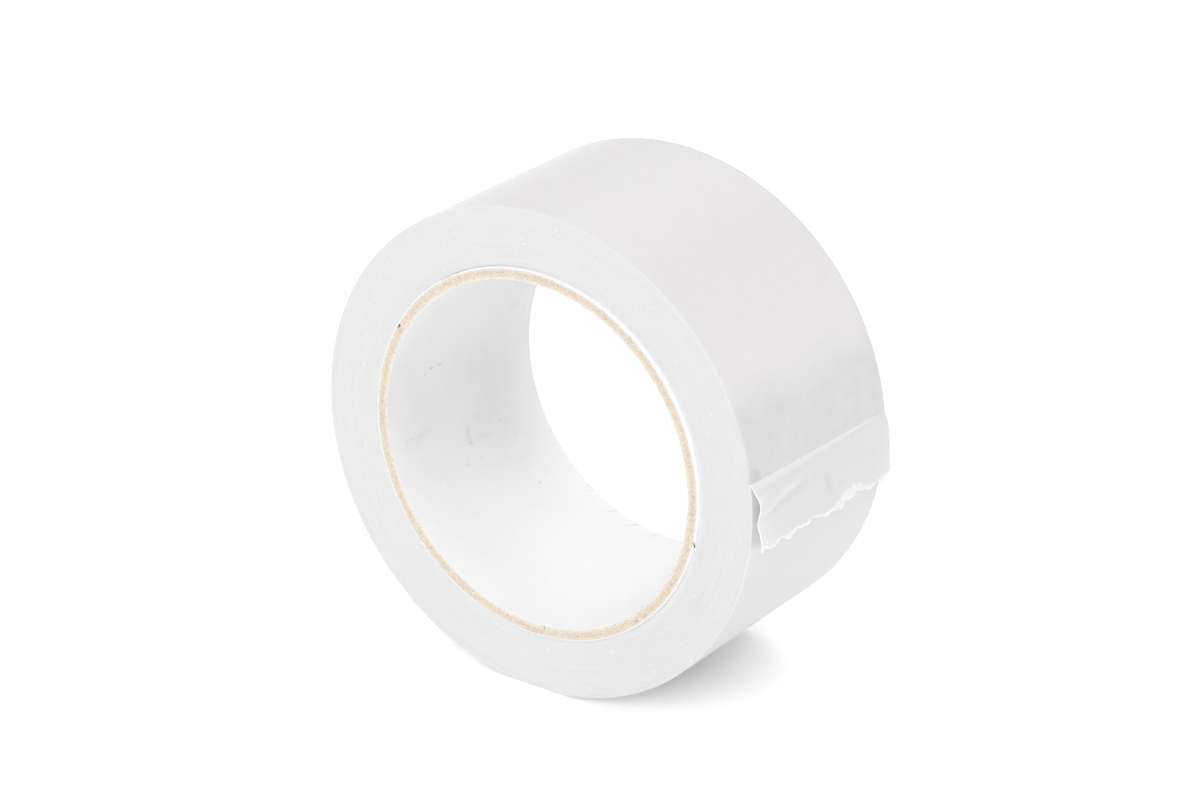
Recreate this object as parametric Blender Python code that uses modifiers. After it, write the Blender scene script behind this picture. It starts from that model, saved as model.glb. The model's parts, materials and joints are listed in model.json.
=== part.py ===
"""Roll of white PVC packing tape on a spiral-wound paper core, standing on its rim.

Units are metres, with +Z up. The roll's axis lies along Y, its front side faces -Y and the
tape's free end hangs on the +X side. The origin is on the ground under the roll's middle.

Pieces are modelled in the roll's own frame and hang on the empty roll_axis: there x points
right, y up and z out of the front side, and angles count from +x towards +y.
"""

import math

import bmesh
import bpy
from mathutils import Matrix, Vector

# Paper core: plies wound as spirals and glued one over the other
BORE_RADIUS = 0.0381
LINER_THICKNESS = 0.00015
BOARD_THICKNESS = 0.0004
BOARD_COUNT = 4
WRAP_THICKNESS = 0.00025
GLUE_LINE = 0.0001
CORE_OVERHANG = 0.0001
SEAM_GAP = 0.0004
SEAM_OVERCUT = 0.001
SEAM_SLANT = math.radians(55.0)
SEAM_FIRST = math.radians(20.8)
SEAM_STAGGER = math.radians(199.0)

# Tape and the way it is wound
TAPE_WIDTH = 0.050
TAPE_THICKNESS = 0.00006
TAPE_BUILD = 0.0128
TURN_GAP = 0.0003
SELF_GAP = 0.00046
UNDERLAP_ANGLE = math.radians(6.0)
RAMP_ANGLE = math.radians(70.0)
REST_FLAT_DEPTH = 0.0005

# Free end: the crease where it leaves the roll, and its lift off the roll along its length
CREASE_ANGLE = math.radians(7.4)
CREASE_SKEW = math.radians(2.0)
SKEW_ANGLE = math.radians(40.0)
END_GAP = 0.0003
END_LENGTH = 0.0142
BULGE_AT = 0.0044
DIP_AT = 0.0081
BULGE_LIFT_NEAR = 0.0020
DIP_LIFT_NEAR = 0.0013
TIP_LIFT_NEAR = 0.0031
BULGE_LIFT_FAR = 0.00095
DIP_LIFT_FAR = 0.0013
TIP_LIFT_FAR = 0.0021

# Tear: the teeth that a serrated cutter left across the end
TOOTH_PITCH = 0.0062
TOOTH_DEPTH = 0.0013
TOOTH_START = 0.0010
TOOTH_RISE = 0.75

# Facets
CORE_SEGMENTS = 72
RIM_SEGMENTS = 96
SEAM_SEGMENTS = 16
END_COLUMNS = 12
GAP_SAMPLES = 720
MERGE_DISTANCE = 0.00001

# Sizes that follow
BOARD_INNER_RADIUS = BORE_RADIUS + LINER_THICKNESS + GLUE_LINE
BOARD_PITCH = BOARD_THICKNESS + GLUE_LINE
WRAP_INNER_RADIUS = BOARD_INNER_RADIUS + BOARD_COUNT * BOARD_PITCH
CORE_RADIUS = WRAP_INNER_RADIUS + WRAP_THICKNESS
CORE_LENGTH = TAPE_WIDTH + 2 * CORE_OVERHANG
PACK_INNER_RADIUS = CORE_RADIUS + GLUE_LINE
ROLL_RADIUS = PACK_INNER_RADIUS + TAPE_BUILD
AXIS_HEIGHT = ROLL_RADIUS - REST_FLAT_DEPTH
TURN_STEP = SELF_GAP + TAPE_THICKNESS
TURN_START = CREASE_ANGLE + UNDERLAP_ANGLE
PACK_DEPTH = TAPE_THICKNESS + TURN_GAP
FULL_TURN = 2 * math.pi
GROUND_ANGLE = -math.pi / 2

COLLECTION_NAME = "tape_roll"


def clear_scene():
    for old in list(bpy.data.objects):
        bpy.data.objects.remove(old, do_unlink=True)


def new_collection(name):
    collection = bpy.data.collections.new(name)
    bpy.context.scene.collection.children.link(collection)
    return collection


def new_material(name, colour, roughness):
    material = bpy.data.materials.new(name)
    material.use_nodes = True
    shader = material.node_tree.nodes["Principled BSDF"]
    shader.inputs["Base Color"].default_value = (*colour, 1.0)
    shader.inputs["Roughness"].default_value = roughness
    shader.inputs["Metallic"].default_value = 0.0
    return material


def add_object(name, data, collection, parent, material=None):
    item = bpy.data.objects.new(name, data)
    item.parent = parent
    if material:
        data.materials.append(material)
    collection.objects.link(item)
    return item


def add_empty(name, collection, parent, matrix):
    empty = bpy.data.objects.new(name, None)
    empty.empty_display_size = BORE_RADIUS
    empty.parent = parent
    empty.matrix_local = matrix
    collection.objects.link(empty)
    return empty


def polar(angle, radius, side=0.0):
    return Vector((radius * math.cos(angle), radius * math.sin(angle), side))


def ease(share):
    share = min(max(share, 0.0), 1.0)
    return share * share * (3.0 - 2.0 * share)


# A flat grid of unit size, bent into place: place(along, across) takes shares from 0 to 1
def sheet_mesh(name, columns, rows, place):
    sheet = bmesh.new()
    bmesh.ops.create_grid(sheet, x_segments=columns, y_segments=rows, size=0.5)
    for vertex in sheet.verts:
        vertex.co = place(vertex.co.x + 0.5, vertex.co.y + 0.5)
    mesh = bpy.data.meshes.new(name)
    sheet.to_mesh(mesh)
    sheet.free()
    mesh.shade_smooth()
    return mesh


def add_wall(item, thickness, offset):
    wall = item.modifiers.new("wall", 'SOLIDIFY')
    wall.thickness = thickness
    wall.offset = offset
    wall.use_even_offset = True


# Core plies: a turned tube, slit by its spiral butt seam
def tube_mesh(name, inner, outer, length):
    half = length / 2
    profile = ((outer, half), (outer, -half), (inner, -half), (inner, half))
    points = [(radius, 0.0, side) for radius, side in profile]
    edges = [(index, (index + 1) % len(points)) for index in range(len(points))]
    mesh = bpy.data.meshes.new(name)
    mesh.from_pydata(points, edges, [])
    return mesh


def add_turning(item, segments):
    turning = item.modifiers.new("turning", 'SCREW')
    turning.axis = 'Z'
    turning.angle = FULL_TURN
    turning.steps = segments
    turning.render_steps = segments
    turning.use_smooth_shade = False
    turning.merge_threshold = MERGE_DISTANCE


def seam_cutter(name, inner, outer, seam_angle, collection, parent):
    reach = CORE_LENGTH + 2 * SEAM_OVERCUT
    turn_per_length = math.tan(SEAM_SLANT) / inner
    lowest = inner - SEAM_OVERCUT
    highest = outer + SEAM_OVERCUT

    def place(along, across):
        side = (along - 0.5) * reach
        return polar(seam_angle + side * turn_per_length, lowest + across * (highest - lowest), side)

    cutter = add_object(name, sheet_mesh(name, SEAM_SEGMENTS, 1, place), collection, parent)
    add_wall(cutter, SEAM_GAP * math.cos(SEAM_SLANT), 0.0)
    cutter.display_type = 'WIRE'
    cutter.hide_render = True
    return cutter


def add_ply(name, index, inner, thickness, material, parts, cutters, parent):
    outer = inner + thickness
    ply = add_object(name, tube_mesh(name, inner, outer, CORE_LENGTH), parts, parent, material)
    add_turning(ply, CORE_SEGMENTS)
    seam = ply.modifiers.new("seam", 'BOOLEAN')
    seam.operation = 'DIFFERENCE'
    seam.solver = 'EXACT'
    seam_angle = SEAM_FIRST + index * SEAM_STAGGER
    seam.object = seam_cutter(name + "_seam", inner, outer, seam_angle, cutters, parent)


def add_core(parts, cutters, parent, white_paper, kraft_board):
    add_ply("core_liner", 0, BORE_RADIUS, LINER_THICKNESS, white_paper, parts, cutters, parent)
    for number in range(BOARD_COUNT):
        inner = BOARD_INNER_RADIUS + number * BOARD_PITCH
        name = "core_board_%d" % (number + 1)
        add_ply(name, number + 1, inner, BOARD_THICKNESS, kraft_board, parts, cutters, parent)
    last = BOARD_COUNT + 1
    add_ply("core_wrap", last, WRAP_INNER_RADIUS, WRAP_THICKNESS, white_paper, parts, cutters, parent)


# Winding: angles along the tape count clockwise from where the outer turn leaves the pack
def winding_point(wound, depth, side=0.0, skew=0.0):
    recess = TURN_STEP * (1.0 - ease(wound / RAMP_ANGLE))
    angle = TURN_START - wound + skew
    radius = ROLL_RADIUS - recess - depth
    above_ground = math.cos(angle - GROUND_ANGLE)
    if above_ground > 0.0:
        radius = min(radius, (AXIS_HEIGHT - depth) / above_ground)
    return polar(angle, radius, side)


# Even steps from start to end, with the two corners of the rest flat among them
def winding_steps(start, end, depth):
    half_flat = math.acos((AXIS_HEIGHT - depth) / (ROLL_RADIUS - depth))
    ground = TURN_START - GROUND_ANGLE
    count = round(RIM_SEGMENTS * (end - start) / FULL_TURN)
    even = [start + (end - start) * index / count for index in range(count + 1)]
    corners = [ground - half_flat, ground + half_flat]
    apart = FULL_TURN / RIM_SEGMENTS / 3
    kept = [step for step in even if min(abs(step - corner) for corner in corners) > apart]
    return sorted(kept + corners)


def add_pack(parts, parent, material):
    curve = bpy.data.curves.new("tape_pack", 'CURVE')
    curve.dimensions = '2D'
    curve.fill_mode = 'BOTH'
    curve.extrude = TAPE_WIDTH / 2
    rim = [winding_point(step, PACK_DEPTH) for step in winding_steps(0.0, FULL_TURN, PACK_DEPTH)]
    hole = [polar(FULL_TURN * index / CORE_SEGMENTS, PACK_INNER_RADIUS) for index in range(CORE_SEGMENTS)]
    for outline in (rim, hole):
        spline = curve.splines.new('POLY')
        spline.points.add(len(outline) - 1)
        for point, place in zip(spline.points, outline):
            point.co = (*place, 1.0)
        spline.use_cyclic_u = True
    add_object("tape_pack", curve, parts, parent, material)


# Least distance between the outside of the turn's first half and the inside of its last half
def print_self_gap(start, end):
    fine = FULL_TURN / GAP_SAMPLES
    samples = [start + fine * index for index in range(int((end - start) / fine) + 1)]
    covered = [winding_point(wound, 0.0) for wound in samples if wound < math.pi]
    covering = [winding_point(wound, TAPE_THICKNESS) for wound in samples if wound > math.pi]
    least = min((low - high).length for low in covered for high in covering)
    print("outer_turn: least gap to itself %.2f mm" % (least * 1000))


def crease_skew(side):
    return CREASE_SKEW * side / TAPE_WIDTH


def add_outer_turn(parts, parent, material):
    start = TURN_GAP / ROLL_RADIUS
    end = FULL_TURN + UNDERLAP_ANGLE
    steps = winding_steps(start, end, 0.0)
    last = len(steps) - 1

    def place(along, across):
        wound = steps[round(along * last)]
        side = (0.5 - across) * TAPE_WIDTH
        skew = crease_skew(side) * ease((wound - end + SKEW_ANGLE) / SKEW_ANGLE)
        return winding_point(wound, 0.0, side, skew)

    turn = add_object("outer_turn", sheet_mesh("outer_turn", last, 1, place), parts, parent, material)
    add_wall(turn, TAPE_THICKNESS, -1.0)
    print_self_gap(start, end)


# Free end: lift off the roll along the tape, smooth through the crease, bulge, dip and tip
def lift(distance, bulge, dip, tip):
    stations = (0.0, BULGE_AT, DIP_AT, END_LENGTH)
    lifts = (0.0, bulge, dip, tip)
    slopes = []
    for index in range(len(stations)):
        low = max(index - 1, 0)
        high = min(index + 1, len(stations) - 1)
        slopes.append((lifts[high] - lifts[low]) / (stations[high] - stations[low]))
    span = 0
    while span < len(stations) - 2 and distance > stations[span + 1]:
        span += 1
    length = stations[span + 1] - stations[span]
    t = (distance - stations[span]) / length
    rise = lifts[span + 1] - lifts[span]
    bend = (1.0 - t) * (slopes[span] * length - rise) - t * (slopes[span + 1] * length - rise)
    return lifts[span] + rise * t + t * (1.0 - t) * bend


# How far the torn edge falls short of the longest teeth
def tear(side):
    share = ((TAPE_WIDTH / 2 - TOOTH_START - side) / TOOTH_PITCH) % 1.0
    return TOOTH_DEPTH * (1.0 - min(share / TOOTH_RISE, (1.0 - share) / (1.0 - TOOTH_RISE)))


# Rows across the tape from the front side to the back, on the teeth's roots, flanks and tips
def tear_rows():
    half = TAPE_WIDTH / 2
    rows = []
    root = half - TOOTH_START
    while root > -half:
        rows += [root - share * TOOTH_PITCH for share in (0.0, TOOTH_RISE / 2, TOOTH_RISE)]
        root -= TOOTH_PITCH
    clear = half - TOOTH_PITCH / 10
    return [half] + [row for row in rows if abs(row) < clear] + [-half]


def add_free_end(parts, roll, material):
    near = polar(CREASE_ANGLE + CREASE_SKEW / 2, ROLL_RADIUS, TAPE_WIDTH / 2)
    far = polar(CREASE_ANGLE - CREASE_SKEW / 2, ROLL_RADIUS, -TAPE_WIDTH / 2)
    along_crease = (near - far).normalized()
    turned = Vector((0.0, 0.0, 1.0)).rotation_difference(along_crease).to_matrix().to_4x4()
    hinge = Matrix.Translation((near + far) / 2) @ turned
    crease = add_empty("crease", parts, roll, hinge)
    to_crease = hinge.inverted()
    rows = tear_rows()
    last = len(rows) - 1

    def place(along, across):
        side = rows[round(across * last)]
        distance = along * (END_LENGTH - tear(side))
        near_lift = lift(distance, BULGE_LIFT_NEAR, DIP_LIFT_NEAR, TIP_LIFT_NEAR)
        far_lift = lift(distance, BULGE_LIFT_FAR, DIP_LIFT_FAR, TIP_LIFT_FAR)
        height = far_lift + (near_lift - far_lift) * (0.5 + side / TAPE_WIDTH)
        angle = CREASE_ANGLE + crease_skew(side) - (END_GAP + distance) / ROLL_RADIUS
        return to_crease @ polar(angle, ROLL_RADIUS + height, side)

    end_mesh = sheet_mesh("free_end", END_COLUMNS, last, place)
    end = add_object("free_end", end_mesh, parts, crease, material)
    add_wall(end, TAPE_THICKNESS, -1.0)
    return crease


def main():
    clear_scene()
    parts = new_collection(COLLECTION_NAME)
    cutters = new_collection(COLLECTION_NAME + "_cutters")
    white_tape = new_material("white_tape", (0.83, 0.82, 0.825), 0.35)
    white_paper = new_material("white_paper", (0.90, 0.90, 0.90), 0.8)
    kraft_board = new_material("kraft_board", (0.80, 0.66, 0.50), 0.9)

    upright = Matrix.Translation((0.0, 0.0, AXIS_HEIGHT)) @ Matrix.Rotation(math.pi / 2, 4, 'X')
    roll = add_empty("roll_axis", parts, None, upright)
    add_core(parts, cutters, roll, white_paper, kraft_board)
    add_pack(parts, roll, white_tape)
    add_outer_turn(parts, roll, white_tape)
    crease = add_free_end(parts, roll, white_tape)

    bpy.context.view_layer.update()
    place = crease.matrix_world.translation * 1000
    axis = crease.matrix_world.to_3x3() @ Vector((0.0, 0.0, 1.0))
    print("roll radius %.2f mm, axis %.2f mm above the ground" % (ROLL_RADIUS * 1000, AXIS_HEIGHT * 1000))
    print("crease at %.3f, %.3f, %.3f mm along %.5f, %.5f, %.5f" % (*place, *axis))


main()
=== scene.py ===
# %% [markdown]
# # A roll of white PVC tape
# A roll of packing tape is a paper tube with some 66 metres of plastic film wound on it.
# This lesson dresses the plain solids of such a roll: the tube with its paper plies, the wound
# film, the outer turn, and the end of the tape, torn off on a serrated blade and left standing.
# The solids come first. They are the frame, and each piece takes its size and place from them.

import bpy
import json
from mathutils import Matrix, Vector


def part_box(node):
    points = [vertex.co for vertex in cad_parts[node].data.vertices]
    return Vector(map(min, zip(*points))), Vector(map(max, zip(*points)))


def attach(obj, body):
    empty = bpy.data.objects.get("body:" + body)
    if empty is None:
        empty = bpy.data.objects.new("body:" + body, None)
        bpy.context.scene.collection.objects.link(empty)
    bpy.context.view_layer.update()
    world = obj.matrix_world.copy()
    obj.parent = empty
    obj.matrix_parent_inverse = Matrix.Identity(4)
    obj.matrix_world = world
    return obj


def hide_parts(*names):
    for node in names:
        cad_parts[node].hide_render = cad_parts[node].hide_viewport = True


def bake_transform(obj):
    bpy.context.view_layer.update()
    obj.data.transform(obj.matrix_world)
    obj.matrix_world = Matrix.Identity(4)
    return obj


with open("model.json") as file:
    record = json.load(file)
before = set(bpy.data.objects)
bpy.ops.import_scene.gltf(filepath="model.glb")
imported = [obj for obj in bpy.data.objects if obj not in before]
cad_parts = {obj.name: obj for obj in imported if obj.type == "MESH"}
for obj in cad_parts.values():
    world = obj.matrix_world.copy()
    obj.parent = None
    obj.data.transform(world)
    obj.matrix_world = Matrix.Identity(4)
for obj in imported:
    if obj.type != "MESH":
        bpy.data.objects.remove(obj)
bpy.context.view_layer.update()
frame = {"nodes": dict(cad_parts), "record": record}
print("solids in the frame:", ", ".join(sorted(frame["nodes"])))

# %% [markdown]
# ## Sizes and places on a roll
# The roll's axis lies along Y, so a place on the roll is an angle about the axis, a distance
# from it, and a side: how far towards the front it lies from the middle of the tape. One
# function turns these three into a place in the world, and it takes whole arrays at once.

# %% Sizes from the frame
import json
import math

import bmesh
import bpy
import numpy as np
from mathutils import Vector

MM = 0.001
DEGREE = math.pi / 180
FULL_TURN = 2 * math.pi

liner_low, liner_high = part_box("core_liner")
AXIS_HEIGHT = (liner_low.z + liner_high.z) / 2
HALF_CORE = liner_high.y
HALF_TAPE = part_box("tape_pack")[1].y


def radii(node):
    places = [vertex.co for vertex in frame["nodes"][node].data.vertices]
    return [math.hypot(place.x, place.z - AXIS_HEIGHT) for place in places]


def polar(angle, radius, side):
    across = radius * np.cos(angle)
    height = AXIS_HEIGHT + radius * np.sin(angle)
    return np.stack(np.broadcast_arrays(across, -side, height), axis=-1)


ROLL_RADIUS = max(radii("outer_turn"))
CORE_RADIUS = max(radii("core_wrap"))
print("roll %.2f mm, core %.2f mm in radius" % (ROLL_RADIUS / MM, CORE_RADIUS / MM))

# %% [markdown]
# ## Smooth random values
# Paper and film are never quite even. Value noise is enough for that: random numbers on a
# coarse grid, joined by the S-shaped curve that is called smoothstep. The seed is fixed, so
# every run gives the same roll.

# %% Smooth steps and value noise
NOISE_SIZE = 512


def ease(share):
    share = np.clip(share, 0.0, 1.0)
    return share * share * (3.0 - 2.0 * share)


def waver(along, across, pitch, seed):
    draws = np.random.default_rng(seed).uniform(-1.0, 1.0, (NOISE_SIZE, NOISE_SIZE))
    along, across = np.broadcast_arrays(np.asarray(along) / pitch, np.asarray(across) / pitch)
    row = np.floor(along).astype(int)
    column = np.floor(across).astype(int)
    down = ease(along - row)
    over = ease(across - column)

    def draw(row_step, column_step):
        return draws[(row + row_step) % NOISE_SIZE, (column + column_step) % NOISE_SIZE]

    near = draw(0, 0) * (1 - over) + draw(0, 1) * over
    far = draw(1, 0) * (1 - over) + draw(1, 1) * over
    return near * (1 - down) + far * down


# %% [markdown]
# ## Meshes from arrays
# Every sheet of this roll is a grid of points in rows and columns, so one function makes the
# faces for all of them. Numbers per point, such as where the film is torn, go into the mesh as
# attributes, and the materials read them there.

# %% Mesh helpers
def grid_mesh(name, places, closed_rows=False):
    rows, columns = places.shape[:2]
    number = np.arange(rows * columns).reshape(rows, columns)
    if closed_rows:
        number = np.concatenate([number, number[:1]])
    corners = (number[:-1, :-1], number[1:, :-1], number[1:, 1:], number[:-1, 1:])
    faces = np.stack(corners, axis=-1).reshape(-1, 4)
    mesh = bpy.data.meshes.new(name)
    mesh.from_pydata(places.reshape(-1, 3).tolist(), [], faces.tolist())
    return mesh


def paint(mesh, name, values):
    attribute = mesh.attributes.new(name, 'FLOAT', 'POINT')
    attribute.data.foreach_set("value", np.ravel(values).astype(np.float32))


def new_object(name, data):
    thing = bpy.data.objects.new(name, data)
    bpy.context.scene.collection.objects.link(thing)
    return thing


def add_piece(name, mesh, material):
    mesh.shade_smooth()
    mesh.materials.append(material)
    return new_object(name, mesh)


def settle(piece):
    bpy.context.view_layer.update()
    depsgraph = bpy.context.evaluated_depsgraph_get()
    evaluated = piece.evaluated_get(depsgraph)
    mesh = bpy.data.meshes.new_from_object(
        evaluated, preserve_all_data_layers=True, depsgraph=depsgraph)
    piece.modifiers.clear()
    piece.data = mesh
    return len(mesh.polygons)


# %% [markdown]
# ## Building node trees
# Materials and Geometry Nodes are both trees of nodes. A small helper adds a node, sets its
# options, and fills each input with a number or with a link, whichever it is given. A link knows
# its tree, so the other helpers need not be told, and a tree reads like a formula.

# %% Node helpers
def add_node(tree, kind, inputs=None, **options):
    node = tree.nodes.new(kind)
    for option, value in options.items():
        setattr(node, option, value)
    for key, value in (inputs or {}).items():
        socket = node.inputs[key]
        if isinstance(value, bpy.types.NodeSocket):
            tree.links.new(value, socket)
        else:
            socket.default_value = value
    return node


def add_sockets(tree, way, kind, *names):
    for name in names:
        tree.interface.new_socket(name, in_out=way, socket_type="NodeSocket" + kind)


def join(kind, inputs, **options):
    links = [value for value in inputs.values() if isinstance(value, bpy.types.NodeSocket)]
    return add_node(links[0].id_data, kind, inputs, **options)


def maths(operation, *values, clamp=False):
    inputs = dict(enumerate(values))
    return join("ShaderNodeMath", inputs, operation=operation, use_clamp=clamp).outputs[0]


def times(first, second):
    return maths('MULTIPLY', first, second)


def weigh(*parts):
    total = 0.0
    for value, weight in parts:
        total = maths('MULTIPLY_ADD', value, weight, total)
    return total


def vector(x=0.0, y=0.0, z=0.0):
    return join("ShaderNodeCombineXYZ", {"X": x, "Y": y, "Z": z}).outputs[0]


def length_of(place):
    return join("ShaderNodeVectorMath", {0: place}, operation='LENGTH').outputs["Value"]


# %% [markdown]
# Every finish starts from a Principled shader, and a value that is the same all over is set on
# the shader itself. Noises and attributes tint the colour. The noise that makes the grain is
# also the bump: it breaks the light as a real grain does, and costs no faces.

# %% Shading helpers
def new_finish(name, roughness, specular):
    material = bpy.data.materials.new(name)
    material.use_nodes = True
    tree = material.node_tree
    shader = tree.nodes["Principled BSDF"]
    shader.inputs["Roughness"].default_value = roughness
    shader.inputs["Specular IOR Level"].default_value = specular
    place = add_node(tree, "ShaderNodeTexCoord").outputs["Object"]
    print("finish:", name)
    return material, tree, shader, place


def noise(place, scale, detail=2.0, rough=0.5):
    inputs = {"Vector": place, "Scale": scale, "Detail": detail, "Roughness": rough}
    return join("ShaderNodeTexNoise", inputs).outputs[0]


def spread(value, low, high, to_low=0.0, to_high=1.0):
    inputs = {"Value": value, "From Min": low, "From Max": high, "To Min": to_low, "To Max": to_high}
    return join("ShaderNodeMapRange", inputs).outputs["Result"]


def tint(share, *colours):
    first, second = [colour if isinstance(colour, bpy.types.NodeSocket) else (*colour, 1.0)
                     for colour in colours]
    return join("ShaderNodeMix", {0: share, 6: first, 7: second}, data_type='RGBA').outputs[2]


def attribute(tree, name):
    return add_node(tree, "ShaderNodeAttribute", attribute_name=name).outputs["Fac"]


def dress(shader, colour, height, distance):
    links = shader.id_data.links
    links.new(colour, shader.inputs["Base Color"])
    bump = join("ShaderNodeBump", {"Height": height, "Distance": distance})
    links.new(bump.outputs["Normal"], shader.inputs["Normal"])


# %% [markdown]
# ## Coordinates that follow the roll
# Marks on a roll run round it or across it. A node group turns the object's own coordinates
# into those of the roll: the radius, and a vector of radius and direction that has no jump
# anywhere on the circle, so that a noise read on it has no seam.

# %% Node group for roll coordinates
def make_roll_coordinates():
    tree = bpy.data.node_groups.new("roll coordinates", "ShaderNodeTree")
    add_sockets(tree, 'INPUT', "Float", "Stretch")
    add_sockets(tree, 'OUTPUT', "Float", "Radius", "Around", "Along")
    add_sockets(tree, 'OUTPUT', "Vector", "Rings")
    stretch = add_node(tree, "NodeGroupInput").outputs["Stretch"]
    place = add_node(tree, "ShaderNodeTexCoord").outputs["Object"]
    split = join("ShaderNodeSeparateXYZ", {0: place}).outputs
    up = maths('SUBTRACT', split["Z"], AXIS_HEIGHT)
    radius = length_of(vector(x=split["X"], z=up))
    right = maths('DIVIDE', split["X"], radius)
    top = maths('DIVIDE', up, radius)
    left_angle = maths('ARCTAN2', times(top, -1.0), times(right, -1.0))
    around = times(left_angle, radius)
    rings = vector(radius, times(right, stretch), times(top, stretch))
    join("NodeGroupOutput", {
        "Radius": radius, "Around": around, "Along": split["Y"], "Rings": rings})
    return tree


ROLL_COORDINATES = make_roll_coordinates()


def roll_coordinates(tree, stretch):
    return add_node(tree, "ShaderNodeGroup", {"Stretch": stretch}, node_tree=ROLL_COORDINATES).outputs


# %% [markdown]
# ## White film
# The tape is calendered PVC: a satin white film with a breath of warm grey. Where it lies on
# the roll it shows faint clouds, because its glue does not touch everywhere. A band above the
# crease is darker, partly film pressed down well and partly painted shade; a spot at its near
# edge is darker too. Lower round the roll the film is painted more neutral, a painted tint of the
# light from the white floor. Where it is torn or creased, the stretched plastic turns white. The
# slit edges, the crease band and some folds are whiter too, partly stretched film and partly a
# painted highlight. A painted picture could hold this, but attributes of the mesh follow the
# crease and the tear. The free end has nothing behind it, so some light goes through it into the
# hollow below. Each noise has a scale, a detail and, where it matters, a roughness.

# %% Finish of the film
FILM_GREY = (0.784, 0.769, 0.767)
FILM_LIGHT = (0.798, 0.783, 0.781)
FILM_BOUNCE_NEUTRAL = (0.781, 0.777, 0.779)
FREE_GREY = (0.912, 0.906, 0.907)
FREE_LIGHT = (0.922, 0.916, 0.917)
FILM_PRESSED_AND_SHADED = (0.572, 0.574, 0.574)
FILM_CREASE_WHITE_AND_HIGHLIGHT = (0.835, 0.815, 0.802)
FILM_WHITE_AND_HIGHLIGHT = (0.98, 0.98, 0.98)
FILM_ROUGHNESS = 0.5
TORN_ROUGHNESS = 0.75
FILM_GLOSS = 0.4
FILM_CLOUDS = (330.0, 3.0, 0.6)
FILM_PATCHES = (300.0, 3.0, 0.55)
FILM_GRAIN = (2600.0, 2.0)
FILM_RELIEF = 0.008 * MM
THROUGH_SHARE = 0.36


def make_film(name, grey, light, through):
    material, tree, shader, place = new_finish(name, FILM_ROUGHNESS, FILM_GLOSS)
    crease_white_and_highlight = attribute(tree, "crease_white_and_highlight")
    torn = attribute(tree, "torn")
    clouds = noise(place, *FILM_CLOUDS)
    colour = tint(spread(clouds, 0.35, 0.65), grey, light)
    # painted tint of the floor's light: the lower film is made more neutral
    colour = tint(attribute(tree, "floor_bounce_tint"), colour, FILM_BOUNCE_NEUTRAL)
    patches = spread(noise(place, *FILM_PATCHES), 0.65, 0.35, 0.72, 1.0)
    # painted shade, partly: the band above the crease and the spot at its near edge are darkened
    pressed_and_shaded = times(attribute(tree, "pressed_and_shaded"), patches)
    colour = tint(pressed_and_shaded, colour, FILM_PRESSED_AND_SHADED)
    # painted highlight, partly: the crease band is whitened
    colour = tint(crease_white_and_highlight, colour, FILM_CREASE_WHITE_AND_HIGHLIGHT)
    # painted highlight, partly: slit edges and fold ridges are whitened together with the torn film
    white = maths('MAXIMUM', attribute(tree, "edge"), torn)
    colour = tint(white, colour, FILM_WHITE_AND_HIGHLIGHT)
    roughness = spread(torn, 0.0, 1.0, FILM_ROUGHNESS, TORN_ROUGHNESS)
    tree.links.new(roughness, shader.inputs["Roughness"])
    grain = maths('ADD', clouds, noise(place, *FILM_GRAIN))
    dress(shader, colour, grain, FILM_RELIEF)
    if through:
        clear = spread(maths('MAXIMUM', white, crease_white_and_highlight), 0.0, 1.0, through, 0.0)
        glow = join("ShaderNodeBsdfTranslucent", {"Color": colour}).outputs[0]
        both = join("ShaderNodeMixShader", {0: clear, 1: shader.outputs[0], 2: glow})
        tree.links.new(both.outputs[0], tree.nodes["Material Output"].inputs["Surface"])
    return material


film_finish = make_film("white film", FILM_GREY, FILM_LIGHT, 0.0)
free_film_finish = make_film("free white film", FREE_GREY, FREE_LIGHT, THROUGH_SHARE)

# %% [markdown]
# ## Side of the winding
# On the roll's side one sees the slit edges of two hundred turns: neutral white, silky, with
# fine rings where a turn stands a hair higher or lower than the next, and here and there a thin
# line of painted shade where two turns gape. To model every edge would take millions of faces,
# so the rings are noises, stretched a long way round the roll and very fine across it.

# %% Finish of the winding's sides
SIDE_GREY = (0.735, 0.735, 0.735)
SIDE_LIGHT = (0.840, 0.840, 0.840)
SIDE_GAP_SHADE = (0.60, 0.60, 0.60)
RING_STRETCH = 0.0014
GAP_STRETCH = 0.0003
FINE_RINGS = (6200.0, 2.0, 0.7)
BROAD_RINGS = (1500.0, 2.0)
GAPING_RINGS = (4200.0, 1.0)
GAPING_PLACES = (40.0, 1.0)
SIDE_DUST = (4400.0, 2.0, 0.7)
SIDE_RELIEF = 0.02 * MM


def make_side():
    material, tree, shader, place = new_finish("slit edges", 0.55, 0.35)
    rings = roll_coordinates(tree, RING_STRETCH)["Rings"]
    long_rings = roll_coordinates(tree, GAP_STRETCH)["Rings"]
    fine = noise(rings, *FINE_RINGS)
    broad = noise(rings, *BROAD_RINGS)
    dust = noise(place, *SIDE_DUST)
    tone = weigh((fine, 0.35), (broad, 0.15), (dust, 0.5))
    colour = tint(spread(tone, 0.3, 0.7), SIDE_GREY, SIDE_LIGHT)
    # painted shade: thin dark lines where turns gape
    gap_shade = spread(noise(long_rings, *GAPING_RINGS), 0.64, 0.74)
    stretches = spread(noise(place, *GAPING_PLACES), 0.45, 0.6, 0.0, 0.2)
    colour = tint(times(gap_shade, stretches), colour, SIDE_GAP_SHADE)
    dress(shader, colour, fine, SIDE_RELIEF)
    return material


side_finish = make_side()
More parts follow.
